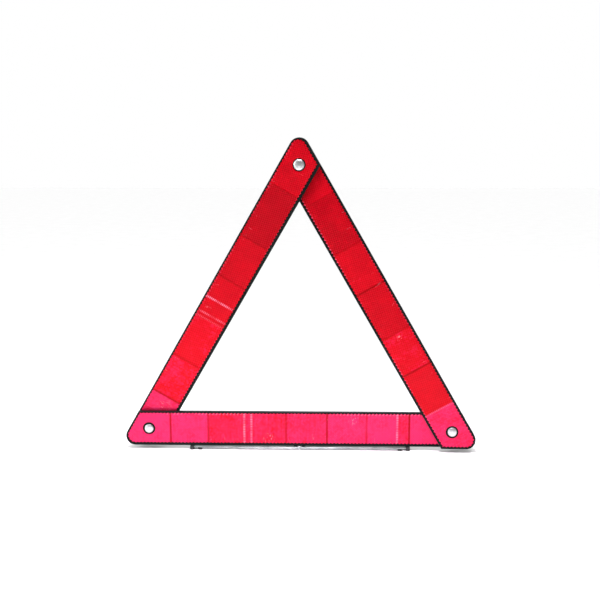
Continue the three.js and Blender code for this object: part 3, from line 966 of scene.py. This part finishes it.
def film_mesh(seams, seed, shift, slot):
    """A strip of film: a scalloped outline with a hole for each rivet, thin at its sealed edges."""
    outline = scalloped(arm_outline(TAPE_MARGIN, 24, shift), SCALLOP_PITCH, SCALLOP_DEPTH)
    sealed = TAPE_MARGIN + SCALLOP_DEPTH + SEALED_EDGE
    inner = arm_outline(sealed, 16, shift)
    holes = [circle(TAPE_HOLE_RADIUS, 72, side * half_spacing) for side in (-1, 1)]
    if slot:
        holes.append(slot_outline(SLOT_SEAT + GAP, SLOT_MOUTH + GAP))
    points, edges = [], []
    for loop in [outline] + holes:
        start = len(points)
        points += loop
        edges += [(start + i, start + (i + 1) % len(loop)) for i in range(len(loop))]
    rim_count = len(points)
    half = ARM_WIDTH / 2 - sealed
    reach = half_spacing + 30 * MM
    columns = [-reach + GRID_STEP * i for i in range(int(2 * reach / GRID_STEP) + 1)]
    columns = [x for x in columns if all(abs(x - s) > GRID_STEP + 0.1 * MM for s in seams)]
    columns += [s + k * SEAM_STEP for s in seams for k in range(-3, 4)]
    rows = [half * (2 * i / GRID_ROWS - 1) for i in range(GRID_ROWS + 1)]
    for x in columns:
        for z in rows:
            far = min(math.hypot(x - s * half_spacing, z) for s in (-1, 1))
            clear = far > TAPE_HOLE_RADIUS + 0.8 * MM and not (slot and inside(holes[2], x, z))
            if clear and inside(inner, x, z):
                points.append(Vector((x, z)))
    made = delaunay_2d_cdt([p / MM for p in points], edges, [], 0, 1e-5)
    flat, faces = [p * MM for p in made[0]], made[2]
    kept = []
    for face in faces:
        a, b, c = (flat[i] for i in face)
        centre = (a + b + c) / 3
        if abs((b - a).cross(c - a)) < SLIVER:
            continue
        in_hole = any(inside(hole_edge, centre.x, centre.y) for hole_edge in holes)
        if not in_hole and inside(outline, centre.x, centre.y):
            kept.append(face)
    origins = made[3]
    on_rim = [any(o < rim_count for o in origin) for origin in origins]
    front = -ARM_DEPTH / 2 + TAPE_BELOW_RIM
    back = front + TAPE_THICKNESS
    mesh = bmesh.new()
    face_verts, back_verts = {}, {}
    for i, p in enumerate(flat):
        level = front + SEALED_LEVEL if on_rim[i] else front - film_height(p.x, p.y, seams, seed)
        face_verts[i] = mesh.verts.new((p.x, level, p.y))
        back_verts[i] = mesh.verts.new((p.x, back, p.y))
    edge_use = {}
    for face in kept:
        mesh.faces.new([face_verts[i] for i in face])
        mesh.faces.new([back_verts[i] for i in reversed(face)])
        for a, b in zip(face, face[1:] + face[:1]):
            edge_use[(a, b)] = edge_use.get((a, b), 0) + 1
    for a, b in list(edge_use):
        if (b, a) not in edge_use:
            mesh.faces.new((face_verts[b], face_verts[a], back_verts[a], back_verts[b]))
    loose = [v for v in mesh.verts if not v.link_faces]
    bmesh.ops.delete(mesh, geom=loose, context="VERTS")
    return mesh


def inside(outline, x, y):
    """True if a point lies inside an outline."""
    found = False
    before = outline[-1]
    for point in outline:
        if (point.y > y) != (before.y > y):
            crossing = point.x + (y - point.y) / (before.y - point.y) * (before.x - point.x)
            if x < crossing:
                found = not found
        before = point
    return found


def make_film(name, seed):
    """An arm's strip of film."""
    ridges = [place_mm * MM for place_mm, _ in SEAMS[name]]
    film = to_object(f"{name}_reflector_film", film_mesh(ridges, seed, FILM_SHIFT[name], name == "base"))
    place(film, arm_matrix(name), 50)
    material = reflective_film(f"{name}_film", SEAMS[name], TONES_AND_PAINTED_LIGHT[name], seed)
    finish_piece(film, material, body_of(name), "reflective_tape", f"{name}_reflector")


# ---------------------------------------------------------------- rivets

HEAD_HEIGHT = 2.08 * MM
SHANK_RADIUS = 2.5 * MM
CLINCH_HEAD_RADIUS = 4 * MM
CLINCH_HEAD_HEIGHT = 0.9 * MM
CLINCH_ROLL_RADIUS = 1.2 * MM
HEAD_BRIM = 0.35 * MM
HEAD_LEVEL = -LAYER_STEP / 2 - ARM_DEPTH / 2 + RECESS_DEPTH - GAP


def rivet_mesh(head_radius, shank_end):
    """A rivet from y = 0 under its domed head to the rolled end of its shank, which is hollow."""
    rise = HEAD_HEIGHT - HEAD_BRIM
    profile = []
    for k in range(15):
        angle = math.radians(90 * k / 14)
        profile.append((head_radius * math.sin(angle), -HEAD_BRIM - rise * math.cos(angle)))
    profile += [(head_radius, -0.1 * MM), (head_radius - 0.1 * MM, 0)]
    roll = shank_end - CLINCH_HEAD_HEIGHT
    profile += [(SHANK_RADIUS, 0), (SHANK_RADIUS, roll), (CLINCH_HEAD_RADIUS - 0.2 * MM, roll)]
    middle = CLINCH_HEAD_RADIUS - CLINCH_ROLL_RADIUS
    for k in range(7):
        angle = math.radians(180 * k / 6)
        across = middle + CLINCH_ROLL_RADIUS * math.cos(angle)
        profile.append((across, roll + 0.15 * MM + 0.75 * MM * math.sin(angle)))
    profile += [(1.3 * MM, roll - 0.6 * MM), (0.5 * MM, roll - 1.2 * MM), (0, roll - 1.3 * MM)]
    return lathe(profile)


def washer_mesh(outer, bore, thickness, ease=0.15 * MM):
    """A washer from y = 0 to its thickness, with eased edges."""
    profile = [
        (bore, ease * 0.6), (bore + ease * 0.6, 0), (outer - ease, 0), (outer, ease),
        (outer, thickness - ease), (outer - ease, thickness),
        (bore + ease * 0.6, thickness), (bore, thickness - ease * 0.6),
    ]
    return ring_lathe(profile)


def node_length(node, matrix):
    """How far a CAD node reaches along the y axis of a corner's frame: its lowest and highest level."""
    inverse = matrix.inverted()
    levels = [(inverse @ v.co).y for v in frame["nodes"][node].data.vertices]
    return min(levels), max(levels)


def node_radius(node, matrix):
    """The radius of a CAD node about the y axis of a corner's frame."""
    inverse = matrix.inverted()
    return max(math.hypot((inverse @ v.co).x, (inverse @ v.co).z) for v in frame["nodes"][node].data.vertices)


def make_turned(name, mesh, matrix, level, material, body, slot, node):
    """A turned piece at a level along a corner's axis."""
    made = to_object(name, mesh)
    place(made, matrix @ Matrix.Translation((0, level, 0)), 40)
    finish_piece(made, material, body, slot, node)


def make_corner(arm, rivet, washer, spacer, body):
    """A corner's rivet or stud, its rear washer, and the spacer between the arms if it has one."""
    matrix = corner_matrix(arm)
    _, rear = node_length(rivet, matrix)
    head = node_radius(rivet, matrix)
    mesh = rivet_mesh(head, rear - HEAD_LEVEL)
    make_turned(f"{rivet}_body", mesh, matrix, HEAD_LEVEL, RIVET, body, "rivet_steel", rivet)
    for node, material, slot in ((washer, WASHER, "rivet_steel"), (spacer, NYLON, "spacer_nylon")):
        if node:
            low, high = node_length(node, matrix)
            ring = washer_mesh(node_radius(node, matrix), SHANK_RADIUS + RUNNING_GAP, high - low)
            make_turned(f"{node}_ring", ring, matrix, low, material, body, slot, node)


# ---------------------------------------------------------------- the object

make_arm("base", 0)
make_arm("right", 1)
make_arm("left", 1)
make_film("base", 3)
make_film("right", 11)
make_film("left", 7)
make_corner("base", "lower_left_rivet", "lower_left_rivet_washer", "lower_left_spacer_washer", "base")
make_corner("left", "top_rivet", "top_rivet_washer", "top_spacer_washer", "left_arm")
make_corner("right", "lock_stud", "lock_stud_flange", None, "right_arm")

feet = Matrix.Translation((triangle_centre.x, triangle_centre.y, 0)) @ Matrix.Rotation(arm_tilt, 4, "Z")
for leg_name in ("upper_leg", "lower_leg"):
    make_leg(leg_name, feet)
    for side_name in ("left", "right"):
        make_cap(leg_name, side_name, feet)
make_leg_pivot(feet)


# ---------------------------------------------------------------- studio

ROOM_FRONT = 0.1
ROOM_BACK = 1.0
ROOM_TOP = 0.6
OVERHEAD = 1.15
LAMPS = {
    "left": {"at": (-1.4, -0.8, 0.7), "size": 0.45, "power": 18},
    "right": {"at": (1.5, -0.5, 0.7), "size": 0.7, "power": 2},
}


def make_floor():
    """A wide pale floor with a faint mottle."""
    mesh = bmesh.new()
    bmesh.ops.create_grid(mesh, x_segments=2, y_segments=2, size=6)
    floor = to_object("floor", mesh)
    nodes = Nodes("floor")
    mottle = nodes.noise(nodes.object_place(), 0.02, 3.0)
    colour = nodes.mix(nodes.between(mottle, 0.3, 0.7), rgba(0.93, 0.93, 0.93), rgba(0.96, 0.96, 0.96))
    floor.data.materials.append(nodes.set(color=colour, roughness=0.6))


def area_light(name, location, target, size, power, colour=(1, 1, 1), spread=180):
    """A soft square lamp that faces a point."""
    data = bpy.data.lights.new(name, "AREA")
    data.shape = "SQUARE"
    data.size = size
    data.energy = power
    data.color = colour
    data.spread = math.radians(spread)
    lamp = bpy.data.objects.new(name, data)
    lamp.location = location
    lamp.rotation_euler = (Vector(target) - Vector(location)).to_track_quat("-Z", "Y").to_euler()
    lamp.visible_camera = False
    bpy.context.scene.collection.objects.link(lamp)


def make_world():
    """A white room with a dim band low in front of the object, so that its blacks and reds stay deep."""
    world = bpy.data.worlds.new("room")
    world.use_nodes = True
    tree = world.node_tree

    def add(kind, *inputs):
        node = tree.nodes.new(kind)
        for socket, value in zip(node.inputs, inputs):
            if isinstance(value, bpy.types.NodeSocket):
                tree.links.new(value, socket)
            else:
                socket.default_value = value
        return node

    def brighter(first, second):
        node = add("ShaderNodeMath", first, second)
        node.operation = "MAXIMUM"
        return node.outputs[0]

    direction = tree.nodes.new("ShaderNodeTexCoord")
    split = add("ShaderNodeSeparateXYZ", direction.outputs["Generated"])
    depth = add("ShaderNodeMapRange", split.outputs["Y"], -0.4, 0.4, ROOM_FRONT, ROOM_BACK)
    height = add("ShaderNodeMapRange", split.outputs["Z"], 0.2, 0.7, ROOM_FRONT, ROOM_TOP)
    seen = tree.nodes.new("ShaderNodeLightPath")
    strength = brighter(brighter(depth.outputs[0], height.outputs[0]), seen.outputs["Is Camera Ray"])
    tree.links.new(strength, tree.nodes["Background"].inputs["Strength"])
    tree.nodes["Background"].inputs["Color"].default_value = (1, 1, 1, 1)
    bpy.context.scene.world = world
    bpy.context.scene.view_settings.view_transform = "Standard"


def make_studio():
    """A very soft light from above, a lamp on each side, and one that lights the floor in front."""
    data = bpy.data.lights.new("overhead", "SUN")
    data.energy = OVERHEAD
    data.angle = math.radians(70)
    lamp = bpy.data.objects.new("overhead", data)
    lamp.rotation_euler = Vector((0.15, 0.3, -1)).to_track_quat("-Z", "Y").to_euler()
    bpy.context.scene.collection.objects.link(lamp)
    for name, given in LAMPS.items():
        area_light(name, given["at"], (0, 0, 0.18), given["size"], given["power"])
    area_light("on_floor", (0, -0.32, 0.85), (0, -0.27, 0), 0.4, 2.8, (1, 0.86, 1), 75)


def make_camera():
    """The camera, a little right of the middle and above it, looking slightly down."""
    data = bpy.data.cameras.new("camera")
    data.lens = 55
    data.sensor_width = 36
    camera = bpy.data.objects.new("camera", data)
    camera.location = (0.0509, -1.0959, 0.3839)
    camera.rotation_euler = Euler((math.radians(90 - 10.05), math.radians(0.06), math.radians(2.62)), "XYZ")
    bpy.context.scene.collection.objects.link(camera)
    bpy.context.scene.camera = camera


make_floor()
make_world()
make_studio()
make_camera()
